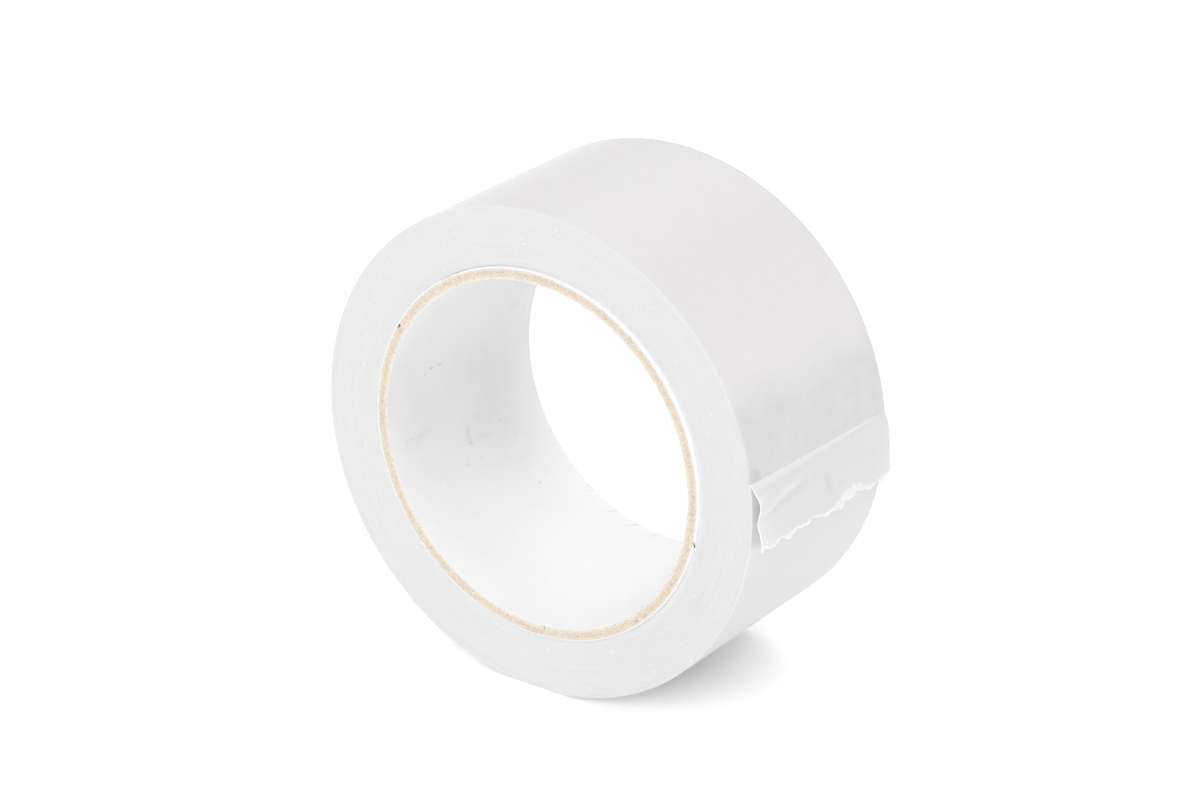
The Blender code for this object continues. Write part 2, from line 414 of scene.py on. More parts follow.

# %% [markdown]
# ## White paper
# The bore is lined with white paper and the tube is wrapped in it. Paper is matt, with a faint
# cloud of fibres. The bore of a handled roll has scuffs, short grey rubs that a fine noise
# breaks up, and wide faint grey clouds, partly smudges and partly painted shade inside the bore.
# Both are soft ellipses on the unrolled bore, which are easier to move than a painted picture.
# Each has its place round the bore from the left side, its place along it, its direction in
# degrees, its length and width, and its strength.

# %% Marks in the bore
SCUFFS = (
    (-5.2, -10.4, 92, 2.2, 0.5, 0.75), (-5.1, -7.5, 89, 2.4, 0.4, 0.4), (-4.4, -12.3, 140, 2.4, 0.5, 0.3),
    (-10.5, 17.4, 100, 6.0, 0.7, 0.13), (-5.3, 4.6, 100, 1.6, 0.7, 0.25), (-4.6, 7.7, 85, 2.0, 0.5, 0.12),
    (8.4, -19.0, 95, 4.2, 0.9, 0.17), (9.9, -17.1, 110, 1.0, 0.6, 0.3), (8.6, -14.9, 97, 11.0, 3.0, 0.07),
    (14.2, -0.6, -8, 6.4, 2.2, 0.17), (15.6, -0.3, 20, 2.4, 1.0, 0.12), (15.5, 4.1, 60, 4.4, 1.4, 0.09),
    (10.7, 4.0, 107, 3.6, 1.3, 0.08), (14.1, 10.5, 95, 1.6, 0.7, 0.24), (11.8, 12.6, 98, 1.4, 0.6, 0.2),
    (19.3, -4.1, 102, 2.2, 0.7, 0.25), (19.6, 0.8, 101, 1.0, 0.6, 0.25), (20.1, -11.8, 95, 0.9, 0.6, 0.25),
    (30.5, 12.9, 105, 0.8, 0.5, 0.95), (29.2, -8.4, 96, 2.4, 0.7, 0.12), (23.8, 12.6, 115, 2.4, 0.9, 0.15),
    (18.6, 13.7, 108, 1.8, 0.8, 0.15), (36.5, 24.3, 85, 2.0, 0.5, 0.3), (37.8, 24.0, 75, 3.6, 0.6, 0.3),
    (44.7, 23.6, 70, 4.6, 0.7, 0.3), (50.8, 23.7, 68, 4.2, 0.7, 0.3), (56.2, 23.4, 72, 4.2, 0.7, 0.28))
SMUDGES_AND_SHADE = (
    (9.0, 21.0, 60, 50.0, 86.0, 0.084), (8.0, -22.0, 70, 91.0, 67.0, 0.100),
    (36.0, 21.0, 115, 45.0, 90.0, 0.077), (7.5, 2.5, 60, 55.0, 46.0, 0.098),
    (0.0, -22.0, 98, 25.0, 51.0, 0.074), (51.0, 0.0, 103, 41.0, 73.0, 0.072))
print("marks: %d scuffs, %d smudges" % (len(SCUFFS), len(SMUDGES_AND_SHADE)))

# %% Soft ellipses
MARK_EDGE = 0.5
MARK_CORE = 0.1
MARK_INPUTS = (
    "Around", "Along", "Centre around", "Centre along", "Direction", "Length", "Width", "Strength")


def make_scuff_group():
    tree = bpy.data.node_groups.new("scuff", "ShaderNodeTree")
    add_sockets(tree, 'INPUT', "Float", *MARK_INPUTS)
    add_sockets(tree, 'OUTPUT', "Float", "Mark")
    enter = add_node(tree, "NodeGroupInput").outputs
    over = maths('SUBTRACT', enter["Around"], enter["Centre around"])
    down = maths('SUBTRACT', enter["Along"], enter["Centre along"])
    cosine = maths('COSINE', enter["Direction"])
    sine = maths('SINE', enter["Direction"])
    with_mark = maths('ADD', times(over, cosine), times(down, sine))
    off_mark = maths('SUBTRACT', times(down, cosine), times(over, sine))
    long_share = maths('DIVIDE', with_mark, enter["Length"])
    wide_share = maths('DIVIDE', off_mark, enter["Width"])
    reach = length_of(vector(long_share, wide_share))
    inputs = {"Value": reach, "From Min": MARK_EDGE, "From Max": MARK_CORE}
    soft = join("ShaderNodeMapRange", inputs, interpolation_type='SMOOTHSTEP')
    mark = times(soft.outputs["Result"], enter["Strength"])
    join("NodeGroupOutput", {"Mark": mark})
    return tree


def draw_marks(group, bore, marks):
    total = 0.0
    for around, along, direction, length, width, strength in marks:
        mark = join("ShaderNodeGroup", {
            "Around": bore["Around"], "Along": bore["Along"],
            "Centre around": around * MM, "Centre along": along * MM,
            "Direction": direction * DEGREE, "Length": length * MM, "Width": width * MM,
            "Strength": strength}, node_tree=group)
        total = maths('ADD', mark.outputs["Mark"], total)
    return total


# %% Finish of the papers
PAPER_WHITE = (0.99, 0.99, 0.99)
PAPER_FIBRE = (0.957, 0.957, 0.954)
SCUFF_AND_SHADE_GREY = (0.20, 0.197, 0.195)
SEAM_GLUE_AND_SHADE = (0.10, 0.075, 0.055)
PAPER_FELT = (700.0, 5.0, 0.65)
PAPER_CLOUD = (90.0, 2.0)
SCUFF_BREAKS = (1700.0, 4.0, 0.6)
PAPER_RELIEF = 0.03 * MM
GLUE_SHADE_FULL = 0.002 * MM
GLUE_SHADE_END = 0.012 * MM
board_outer = min(radii("core_wrap"))


def make_paper(name, marked):
    material, tree, shader, place = new_finish(name, 0.9, 0.15)
    fibre = noise(place, *PAPER_FELT)
    cloud = noise(place, *PAPER_CLOUD)
    tone = weigh((fibre, 0.7), (cloud, 0.3))
    colour = tint(spread(tone, 0.3, 0.7), PAPER_FIBRE, PAPER_WHITE)
    on_roll = roll_coordinates(tree, 1.0)
    if marked:
        group = make_scuff_group()
        rub = spread(noise(place, *SCUFF_BREAKS), 0.36, 0.6)
        streaks = times(draw_marks(group, on_roll, SCUFFS), rub)
        # painted shade, partly: the wide clouds darken the bore
        uneven = spread(cloud, 0.3, 0.7, 0.75, 1.0)
        haze_and_shade = times(draw_marks(group, on_roll, SMUDGES_AND_SHADE), uneven)
        colour = tint(maths('ADD', streaks, haze_and_shade), colour, SCUFF_AND_SHADE_GREY)
    else:
        radius = on_roll["Radius"]
        # painted shade, partly: the back of the wrap is darkened as with glue
        glue_and_shade = spread(radius, board_outer + GLUE_SHADE_FULL, board_outer + GLUE_SHADE_END, 1.0, 0.0)
        colour = tint(glue_and_shade, colour, SEAM_GLUE_AND_SHADE)
    dress(shader, colour, fibre, PAPER_RELIEF)
    return material


liner_finish = make_paper("white lining paper", True)
wrap_finish = make_paper("white wrapping paper", False)

# %% [markdown]
# ## Kraft board
# Between the two white papers lies raw board. Its cut end is a felt of pale and dark brown
# fibres that lie round the tube, so its noises are stretched a little round it. A picture of
# board would show a join somewhere; a noise on the circle does not. Towards both papers the board
# is paler, where the saw smeared white fibres over it. Deep in the seams it is dark, partly with
# glue and partly with painted shade, and so is the back of the wrap.

# %% Finish of the board
KRAFT_PALE = (0.89, 0.80, 0.695)
KRAFT_BROWN = (0.72, 0.592, 0.453)
KRAFT_DARK = (0.42, 0.31, 0.21)
KRAFT_RIM = (0.94, 0.89, 0.83)
KRAFT_FELT = (2600.0, 4.0, 0.7)
KRAFT_CLOUD = (420.0, 3.0)
KRAFT_SPECKS = (4200.0, 2.0)
KRAFT_RELIEF = 0.06 * MM
FELT_STRETCH = 0.5
INNER_RIM = (0.15 * MM, 1.0 * MM)
OUTER_RIM = 0.5 * MM
SEAM_DEPTH = 0.6 * MM
board_inner = min(radii("core_liner"))


def make_kraft():
    material, tree, shader, place = new_finish("kraft board", 0.95, 0.1)
    on_roll = roll_coordinates(tree, FELT_STRETCH * board_outer)
    radius = on_roll["Radius"]
    felt = noise(on_roll["Rings"], *KRAFT_FELT)
    cloud = noise(place, *KRAFT_CLOUD)
    colour = tint(spread(felt, 0.36, 0.62), KRAFT_BROWN, KRAFT_PALE)
    colour = tint(spread(cloud, 0.4, 0.65, 0.0, 0.35), colour, KRAFT_PALE)
    inner_rim = spread(radius, board_inner + INNER_RIM[0], board_inner + INNER_RIM[1])
    outer_rim = spread(radius, board_outer, board_outer - OUTER_RIM)
    rim = maths('SUBTRACT', 1.0, maths('MINIMUM', inner_rim, outer_rim))
    rim = times(rim, spread(felt, 0.7, 0.35, 0.4, 1.0))
    colour = tint(rim, colour, KRAFT_RIM)
    specks = noise(on_roll["Rings"], *KRAFT_SPECKS)
    colour = tint(spread(specks, 0.57, 0.72, 0.0, 0.65), colour, KRAFT_DARK)
    # painted shade, partly: the board is darkened deep in the seams
    along = maths('ABSOLUTE', on_roll["Along"])
    deep_glue_and_shade = spread(along, HALF_CORE - SEAM_DEPTH, HALF_CORE - 0.25 * SEAM_DEPTH, 1.0, 0.0)
    colour = tint(deep_glue_and_shade, colour, SEAM_GLUE_AND_SHADE)
    dress(shader, colour, felt, KRAFT_RELIEF)
    return material


kraft_finish = make_kraft()

# %% [markdown]
# ## Trees with named inputs
# Geometry Nodes build what follows a rule. Each tree gets named inputs, and one function runs a
# tree on an object: it sets the inputs by their identifiers, keeps the result as a plain mesh
# and takes the modifier off again.

# %% Run a Geometry Nodes tree
def new_tree(name, numbers, counts):
    tree = bpy.data.node_groups.new(name, "GeometryNodeTree")
    add_sockets(tree, 'INPUT', "Geometry", "Geometry")
    add_sockets(tree, 'INPUT', "Float", *numbers)
    add_sockets(tree, 'INPUT', "Int", *counts)
    add_sockets(tree, 'INPUT', "Material", "Material")
    add_sockets(tree, 'OUTPUT', "Geometry", "Geometry")
    return tree, add_node(tree, "NodeGroupInput").outputs


def end_tree(enter, geometry):
    whole = join("GeometryNodeRealizeInstances", {0: geometry}).outputs[0]
    dressed = join("GeometryNodeSetMaterial", {"Geometry": whole, "Material": enter["Material"]})
    join("NodeGroupOutput", {0: dressed.outputs[0]})


def grow(name, tree, values):
    piece = new_object(name, bpy.data.meshes.new(name))
    modifier = piece.modifiers.new("grow", 'NODES')
    modifier.node_group = tree
    for socket in tree.interface.items_tree:
        if socket.in_out == 'INPUT' and socket.name in values:
            modifier[socket.identifier] = values[socket.name]
    print("%s: %d faces" % (name, settle(piece)))
    return piece


# %% [markdown]
# ## Paper tube
# The core is wound from six strips of paper, each laid as a spiral whose edges meet in a
# slanting butt seam: a white lining, four plies of board and a white wrap. A plain ring would have
# no seam, so a ply is a flat grid, bent round the axis until its two ends meet along the seam, and
# then given its thickness. The saw leaves a ragged cut, so the end rows waver a little.

# %% Tree for one ply
CUT_NOISE = (900.0, 3.0)
CUT_LEAST = 0.3
END_ROW = 0.999
WELD = 0.001 * MM


def make_ply_tree():
    numbers = ("Inner", "Thickness", "Half", "Seam", "Twist", "Gap", "Ragged")
    tree, enter = new_tree("spiral ply", numbers, ("Steps", "Rows"))
    grid = join("GeometryNodeMeshGrid", {
        "Size X": 1.0, "Size Y": 1.0, "Vertices X": enter["Steps"], "Vertices Y": enter["Rows"]})
    position = add_node(tree, "GeometryNodeInputPosition").outputs[0]
    spot = join("ShaderNodeSeparateXYZ", {0: position}).outputs
    around = maths('ADD', spot["X"], 0.5)
    across = times(spot["Y"], 2.0)
    side = times(across, enter["Half"])
    gap = maths('DIVIDE', enter["Gap"], enter["Inner"])
    sweep = times(around, maths('SUBTRACT', FULL_TURN, gap))
    turned = maths('MULTIPLY_ADD', side, enter["Twist"], enter["Seam"])
    angle = maths('ADD', maths('ADD', turned, sweep), times(gap, 0.5))
    right = times(maths('COSINE', angle), enter["Inner"])
    up = times(maths('SINE', angle), enter["Inner"])
    cut = noise(vector(right, across, up), *CUT_NOISE)
    at_end = maths('GREATER_THAN', maths('ABSOLUTE', across), END_ROW)
    bite = times(maths('SUBTRACT', cut, CUT_LEAST, clamp=True), enter["Ragged"])
    shift = times(times(bite, at_end), across)
    place = vector(right, maths('SUBTRACT', shift, side), maths('ADD', up, AXIS_HEIGHT))
    sheet = join("GeometryNodeSetPosition", {
        "Geometry": grid.outputs[0], "Position": place}).outputs[0]
    outside = join("GeometryNodeExtrudeMesh", {
        "Mesh": sheet, "Offset Scale": enter["Thickness"], "Individual": False}).outputs["Mesh"]
    inside = join("GeometryNodeFlipFaces", {0: sheet}).outputs[0]
    both = add_node(tree, "GeometryNodeJoinGeometry")
    tree.links.new(inside, both.inputs[0])
    tree.links.new(outside, both.inputs[0])
    closed = join("GeometryNodeMergeByDistance", {0: both.outputs[0], "Distance": WELD})
    end_tree(enter, closed.outputs[0])
    return tree


ply_tree = make_ply_tree()

# %% [markdown]
# The seams slant by 55 degrees and are staggered, so that no two lie over each other. The
# lining is so thin that the board behind it seems to reach the bore. Each board fills the room
# up to the next ply, and the outermost board and the wrap have the widest seams, which show
# at the cut as two nicks. The last two numbers of a ply are in millimetres: how ragged its cut
# is, and how wide its seam.

# %% The six plies
LINER_WALL = 0.07 * MM
PLY_PLAY = 0.004 * MM
END_PLAY = 0.02 * MM
SEAM_SLANT = 55.0 * DEGREE
SEAM_FIRST = 20.8 * DEGREE
SEAM_STAGGER = 199.25 * DEGREE
PLY_STEPS = 480
PLY_ROWS = 44
SHARP_EDGE = 40.0 * DEGREE
BOARDS = ("core_board_1", "core_board_2", "core_board_3", "core_board_4")
PLIES = (
    ("core_liner", liner_finish, "white_paper", 0.06, 0.25),
    *[(board, kraft_finish, "kraft_board", 0.22, 0.25) for board in BOARDS[:3]],
    (BOARDS[3], kraft_finish, "kraft_board", 0.22, 1.25),
    ("core_wrap", wrap_finish, "white_paper", 0.03, 0.7))

board_starts = [min(radii(board)) for board in BOARDS[1:]]
ply_ends = [board_inner + LINER_WALL, *board_starts, board_outer, CORE_RADIUS]
ply_inner = board_inner
for index, (node, finish, slot, ragged, gap) in enumerate(PLIES):
    ply = grow(node + "_paper", ply_tree, {
        "Inner": ply_inner, "Thickness": ply_ends[index] - ply_inner - PLY_PLAY,
        "Half": HALF_CORE - END_PLAY, "Seam": SEAM_FIRST + index * SEAM_STAGGER,
        "Twist": math.tan(SEAM_SLANT) / ply_inner, "Gap": gap * MM,
        "Ragged": ragged * MM, "Steps": PLY_STEPS, "Rows": PLY_ROWS, "Material": finish})
    ply.data.set_sharp_from_angle(angle=SHARP_EDGE)
    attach(ply, "roll")
    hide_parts(node)
    ply_inner = ply_ends[index]

# %% [markdown]
# ## Winding
# The wound film is too fine to model turn by turn, so one ring of this mesh stands for two
# turns. The rings still form one spiral: each ring ends where the next one starts, at the angle
# of the crease, where the tape's end leaves the roll. Each ring's edge stands a little in or
# out, by a random amount that drifts along the winding. The sides are slightly dished, so the
# white outside of the tube shows, and at the upper left the film has come a hair off the tube.
# The rim is pressed flat on the ground.

# %% The crease and the rest flat
hinge = frame["record"]["behaviour"]["joints"][0]
hinge_point = Vector(hinge["pos_m"])
hinge_axis = Vector(hinge["axis"])
FLAT_SOFT = 0.15 * MM


def crease_angle(side):
    reach = np.asarray(side) / -hinge_axis.y
    across = hinge_point.x + hinge_axis.x * reach
    height = hinge_point.z + hinge_axis.z * reach - AXIS_HEIGHT
    return np.arctan2(height, across)


def rim_radius(angle):
    flat = AXIS_HEIGHT / np.maximum(-np.sin(angle), 0.01)
    share = np.clip(0.5 + 0.5 * (flat - ROLL_RADIUS) / FLAT_SOFT, 0.0, 1.0)
    return flat + (ROLL_RADIUS - flat) * share - FLAT_SOFT * share * (1.0 - share)


CREASE = float(crease_angle(0.0))
print("crease at %.1f degrees" % math.degrees(CREASE))

# %% Wound film
CORE_CLEARANCE = 0.012 * MM
LOOSE = 0.05 * MM
LOOSE_MIDDLE = 150.0 * DEGREE
LOOSE_SPREAD = 1.4
RING_PITCH = 0.114 * MM
RIM_DEPTH = 0.25 * MM
STAGGER = 0.012 * MM
DISH = 0.85 * MM
WINDING_STEPS = 288
WAVERS_PER_TURN = 7
WINDING_WELD = 0.0005 * MM
WINDING_SHARP = 50.0 * DEGREE

pack_inner = CORE_RADIUS + CORE_CLEARANCE
pack_outer = ROLL_RADIUS - RIM_DEPTH
ring_count = round((pack_outer - pack_inner) / RING_PITCH)


def squeeze(angle, radius):
    share = (rim_radius(angle) - pack_inner) / (ROLL_RADIUS - pack_inner)
    return pack_inner + (radius - pack_inner) * share


def winding_face(seed, front):
    share = np.linspace(0.0, 1.0, WINDING_STEPS + 1)[None, :]
    wound = np.arange(ring_count + 2)[:, None] - share
    radius = np.clip(pack_inner + wound * RING_PITCH, pack_inner, pack_outer)
    relief = waver(wound, 0.0, 1.0 / WAVERS_PER_TURN, seed) * STAGGER - STAGGER
    angle = CREASE + share * FULL_TURN
    loose = LOOSE * ease(np.cos(angle - LOOSE_MIDDLE) * LOOSE_SPREAD)
    radius = np.maximum(radius, pack_inner + loose)
    side = (HALF_TAPE - DISH * (pack_outer - radius) / (pack_outer - pack_inner) + relief) * front
    return polar(angle, squeeze(angle, radius), side)


front_face = winding_face(seed=11, front=1.0)
back_face = winding_face(seed=12, front=-1.0)
faces_round = np.concatenate([front_face, back_face[::-1]])
winding_mesh = grid_mesh("tape_winding", faces_round, closed_rows=True)
work = bmesh.new()
work.from_mesh(winding_mesh)
bmesh.ops.remove_doubles(work, verts=work.verts, dist=WINDING_WELD)
bmesh.ops.recalc_face_normals(work, faces=work.faces)
work.to_mesh(winding_mesh)
work.free()
winding = add_piece("tape_winding", winding_mesh, side_finish)
winding_mesh.set_sharp_from_angle(angle=WINDING_SHARP)
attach(winding, "roll")
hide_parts("tape_pack")
print("winding: %d rings, %d faces" % (ring_count, len(winding_mesh.polygons)))

# %% [markdown]
# ## Outer turn
# The last turn starts at the crease, goes up over the top and once round, and slips under its
# own end, where it is whiter. Its slit edges roll down a little and carry a painted highlight,
# which together give the rim its soft bright line. It is a grid round the roll, with columns
# crowded at the edges, and Solidify gives it its thickness.

# %% Film across its width
FILM = 0.06 * MM
TURN_STEP = 0.08 * MM
EDGE_ROLL = 0.10 * MM
EDGE_COLUMNS = 6
WIDTH_COLUMNS = 44


def columns_across(count):
    inner = HALF_TAPE - EDGE_ROLL
    middle = np.linspace(-inner, inner, count + 1)
    bend = np.sin(np.linspace(0.0, math.pi / 2, EDGE_COLUMNS + 1))[1:] * EDGE_ROLL
    return np.concatenate([-inner - bend[::-1], middle, inner + bend])


def edge_share(side):
    return np.clip((np.abs(side) - HALF_TAPE + EDGE_ROLL) / EDGE_ROLL, 0.0, 1.0)


def edge_drop(side, depth):
    return depth * (1.0 - np.sqrt(1.0 - edge_share(side) ** 2))


def wall(piece):
    solidify = piece.modifiers.new("wall", 'SOLIDIFY')
    solidify.thickness = FILM
    solidify.offset = -1.0
    faces = settle(piece)
    piece.data.set_sharp_from_angle(angle=SHARP_EDGE)
    return faces


# %% Shape of the outer turn
UNDERLAP = 6.0 * DEGREE
SKEW_FADE = 40.0 * DEGREE
TURN_ROWS = 420
RIPPLE = 0.012 * MM
RIPPLE_WAVES = ((9.0 * MM, 1.0, 21), (4.0 * MM, 0.5, 22))
SETTLE_START = 12.0 * DEGREE
SETTLE_END = 20.0 * DEGREE

side = columns_across(WIDTH_COLUMNS)[None, :]
wound = np.linspace(0.0, FULL_TURN + UNDERLAP, TURN_ROWS + 1)[:, None]
length = wound * ROLL_RADIUS
crease = crease_angle(side)
angle = CREASE + wound + (crease - CREASE) * (1.0 - ease(wound / SKEW_FADE))
ripple = sum(share * waver(length, side, pitch, seed) for pitch, share, seed in RIPPLE_WAVES)
ripple_most = sum(share for pitch, share, seed in RIPPLE_WAVES)
settled = ease(wound / SETTLE_START) * ease((FULL_TURN - wound) / SETTLE_END)
off_ground = 1.0 - ease((ROLL_RADIUS - rim_radius(angle)) / FLAT_SOFT)
fall = TURN_STEP * wound / FULL_TURN
radius = ROLL_RADIUS - fall + RIPPLE * (ripple - ripple_most) * settled * off_ground
radius = radius - edge_drop(side, RIM_DEPTH - fall)
places = polar(angle, squeeze(angle, radius), side)
turn_mesh = grid_mesh("outer_turn", places)

# %% [markdown]
# Attributes carry the tones of this turn: slit edges whitened with a painted highlight, whiter
# film under the end, a painted neutral tint of the floor's light on the film below it, a darker
# band above the crease, partly film pressed down well and partly painted shade, and a darker spot
# at its near edge. The film's finish reads them point by point.

# %% Tones of the outer turn
EDGE_GLINT = 0.2
SHELTER = 13.0 * DEGREE
SHELTER_FADE = 4.0 * DEGREE
SHELTER_WHITE = 0.2
BOUNCE_TINT_REACH = 130.0 * DEGREE
BOUNCE_TINT_FADE = 60.0 * DEGREE
BOUNCE_TINT_SHARE = 0.9
BOND_SHADE_START = 11.0 * DEGREE
BOND_SHADE_FADE = 12.0 * DEGREE
BOND_SHADE_WAVER = 1.5 * DEGREE
BOND_SHADE_PITCH = 6.0 * MM
BOND_SHADE_SHARE = 0.52
NEAR_SPOT_ACROSS = 4.6 * MM
NEAR_SPOT_ROUND = 3.4 * DEGREE
NEAR_SPOT_EDGE = 1.1
NEAR_SPOT_SOFT = 0.25

# painted highlight on the slit edges
glint = ease(edge_share(side) * 1.5) * EDGE_GLINT
whiter_under_end = ease((wound - FULL_TURN + SHELTER) / SHELTER_FADE) * SHELTER_WHITE
paint(turn_mesh, "edge", np.maximum(glint, whiter_under_end))
# painted tint of the floor's light on the lower film
floor_bounce_tint = ease((wound - FULL_TURN + BOUNCE_TINT_REACH) / BOUNCE_TINT_FADE) * BOUNCE_TINT_SHARE
paint(turn_mesh, "floor_bounce_tint", np.broadcast_to(floor_bounce_tint, angle.shape))
# painted shade, partly: a darker band above the crease and a darker spot at its near edge
above = angle - crease
near_spot = np.hypot((side - HALF_TAPE) / NEAR_SPOT_ACROSS, above / NEAR_SPOT_ROUND)
bond_shade_end = BOND_SHADE_START + BOND_SHADE_WAVER * waver(length, side, BOND_SHADE_PITCH, 23)
bond_and_shade = (1.0 - ease((above - bond_shade_end) / BOND_SHADE_FADE)) * BOND_SHADE_SHARE
paint(turn_mesh, "pressed_and_shaded", np.maximum(ease((NEAR_SPOT_EDGE - near_spot) / NEAR_SPOT_SOFT), bond_and_shade))
outer_turn = add_piece("outer_turn_film", turn_mesh, film_finish)
print("outer turn: %d faces" % wall(outer_turn))
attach(outer_turn, "roll")
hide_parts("outer_turn")

# %% [markdown]
# ## Free end
# The end of the tape leaves the roll at the crease. At its near edge it first bulges, dips, and
# then stands off the roll towards the tear; its far edge rises more evenly. Two curves through
# points measured along these edges give that, and the bulge runs into the crease farther in.
# A few small folds are added as soft ridges and troughs along lines, which fade at both ends.
# Each has its points, width and height in millimetres, and how much paler the film is painted
# there: where positive, partly stretched film and partly a painted highlight; where negative,
# painted shade in a trough.
# A cloth simulation could fold the film too, but not just here, and not twice alike.

# %% Lift of the free end off the roll
NEAR_LIFT = ((0.0, 0.0), (1.8, 0.92), (3.6, 1.92), (4.9, 2.0), (7.0, 1.45), (8.1, 1.28), (10.1, 1.94),
             (12.4, 2.58), (14.9, 2.80))
FAR_LIFT = ((0.0, 0.0), (1.4, 0.55), (4.6, 1.0), (8.9, 1.4), (13.3, 2.05), (14.9, 2.3))
BULGE_REACH = 4.9 * MM
BULGE_SHIFT = 2.6 * MM
BULGE_FADE = 0.25
NEAR_POWER = 1.3
FOLD_FADE = 0.35
FOLD_HEIGHT = 2
FOLD_PAINTED_TONE = 3
FOLDS = (
    (((27.0, 7.8), (21.0, 6.6), (18.0, 5.8), (15.0, 5.0), (11.0, 4.5), (6.0, 4.0)), 1.3, 0.26, 0.0),
    (((25.0, 3.2), (21.0, 3.2), (18.0, 2.6), (15.0, 2.3), (11.0, 2.2), (4.0, 2.0)), 0.9, -0.20, 0.0),
    (((29.0, 6.8), (21.0, 5.7), (18.0, 4.7), (15.0, 4.0), (11.0, 3.6), (6.0, 3.5)), 0.8, 0.0, 0.42),
    (((8.0, 3.3), (3.7, 3.0), (0.1, 3.6), (-2.6, 5.4), (-3.4, 7.0)), 0.6, 0.10, 0.10),
    (((0.8, 4.4), (0.0, 6.0), (-1.0, 7.8), (-2.1, 11.6)), 0.9, -0.12, -0.2),
    (((-5.2, 11.5), (-6.2, 10.9), (-10.2, 9.8), (-10.9, 9.6)), 0.45, 0.10, 0.24),
    (((-10.0, 9.2), (-10.6, 12.0)), 0.4, 0.10, 0.2),
    (((-10.6, 7.6), (-13.0, 10.6)), 0.4, 0.10, 0.24),
    (((23.6, 10.6), (22.3, 14.0)), 0.4, 0.10, 0.12))


def smooth_curve(distance, points):
    stations, values = np.array(points).T * MM
    slopes = np.gradient(values, stations)
    span = np.clip(np.searchsorted(stations, distance) - 1, 0, len(stations) - 2)
    length = stations[span + 1] - stations[span]
    t = np.clip((distance - stations[span]) / length, 0.0, 1.0)
    rise = values[span + 1] - values[span]
    bend = (1.0 - t) * (slopes[span] * length - rise) - t * (slopes[span + 1] * length - rise)
    return values[span] + rise * t + t * (1.0 - t) * bend


def fold_ridge(side, distance, points, width):
    points = np.array(points)
    runs = np.diff(points, axis=0)
    lengths = np.hypot(*runs.T)
    nearest = np.full(np.broadcast(side, distance).shape, np.inf)
    share = np.zeros_like(nearest)
    for index, (start, run, length) in enumerate(zip(points, runs, lengths)):
        over = side / MM - start[0]
        down = distance / MM - start[1]
        along = np.clip((over * run[0] + down * run[1]) / length ** 2, 0.0, 1.0)
        gap = np.hypot(over - along * run[0], down - along * run[1])
        share = np.where(gap < nearest, lengths[:index].sum() + along * length, share)
        nearest = np.minimum(nearest, gap)
    share = share / lengths.sum()
    fade = ease(share / FOLD_FADE) * ease((1.0 - share) / FOLD_FADE)
    return np.exp(-(nearest / width) ** 2) * fade


def fold_sum(side, distance, column):
    return sum(fold[column] * fold_ridge(side, distance, *fold[:FOLD_HEIGHT]) for fold in FOLDS)


def lift(side, distance):
    near = np.clip(0.5 + side / (2 * HALF_TAPE), 0.0, 1.0)
    shift = BULGE_SHIFT * (1.0 - np.exp(-(1.0 - near) / BULGE_FADE))
    reach = distance / BULGE_REACH
    near_lift = smooth_curve(distance + shift * reach * np.exp(1.0 - reach), NEAR_LIFT)
    far_lift = smooth_curve(distance, FAR_LIFT)
    height = far_lift + (near_lift - far_lift) * near ** NEAR_POWER
    return height + fold_sum(side, distance, FOLD_HEIGHT) * MM


print("folds in the free end: %d" % len(FOLDS))

# %% [markdown]
# The tear follows the teeth of the blade: long slopes and short steps, with a fine raggedness.
# Short of the tear the film has been stretched white, in a narrow band near the front and in
# wide lobes towards the back. Both lines are points across the tape, joined and roughened.

# %% Tear and stretched fringe
TEAR = ((-25.0, 13.1), (-24.5, 13.0), (-21.7, 14.7), (-20.0, 13.4), (-17.6, 14.5), (-11.75, 12.95),
        (-9.3, 13.95), (-6.7, 13.35), (-5.9, 14.85), (-1.4, 14.05), (-0.7, 14.35), (5.6, 12.95),
        (7.5, 13.85), (11.75, 13.0), (14.2, 14.45), (18.0, 13.0), (20.5, 14.1), (24.0, 13.1), (25.0, 13.9))
FRINGE = ((-25.0, 12.9), (-22.0, 13.1), (-19.7, 13.2), (-17.9, 13.35), (-14.5, 12.55), (-13.0, 11.65),
          (-10.25, 11.15), (-7.0, 11.4), (-5.2, 12.1), (-3.5, 12.65), (-2.1, 13.05), (1.7, 13.6),
          (5.6, 12.55), (9.9, 13.15), (12.0, 12.6), (15.4, 13.2), (18.0, 12.7), (20.7, 13.1),
          (23.7, 12.6), (25.0, 12.3))
ROUGH_PITCHES = (0.9, 0.42, 0.2)


def line_across(side, points, rough, seed):
    stations, values = np.array(points).T * MM
    line = np.interp(side, stations, values)
    for step, pitch in enumerate(ROUGH_PITCHES):
        line = line + rough * pitch * waver(side, 0.0, pitch * MM, seed + step)
    return line


print("tear of %d points, fringe of %d" % (len(TEAR), len(FRINGE)))

# %% [markdown]
# The end itself is a grid again. Its rows run from the crease to the tear and lie closer in the
# fringe, so that the ragged lines have points enough there and the calm film has few.

# %% Shape of the free end
END_COLUMNS = 560
LONG_ROWS = 42
TORN_ROWS = 28
TEAR_ROUGH = 0.30 * MM
NICK_PITCH = 0.4 * MM
NICK_LEAST = 0.4
NICK_DEPTH = 0.9 * MM
FRINGE_SHARE = 0.74
FRINGE_ROUGH = 0.28 * MM
FRINGE_LEAST = 0.32 * MM
FRINGE_SOFT = 0.07 * MM
FRINGE_PITCH = 0.6 * MM
FRINGE_RELIEF = 0.05 * MM
FRINGE_CURL = 0.09 * MM
LIP_DROP = 0.12 * MM

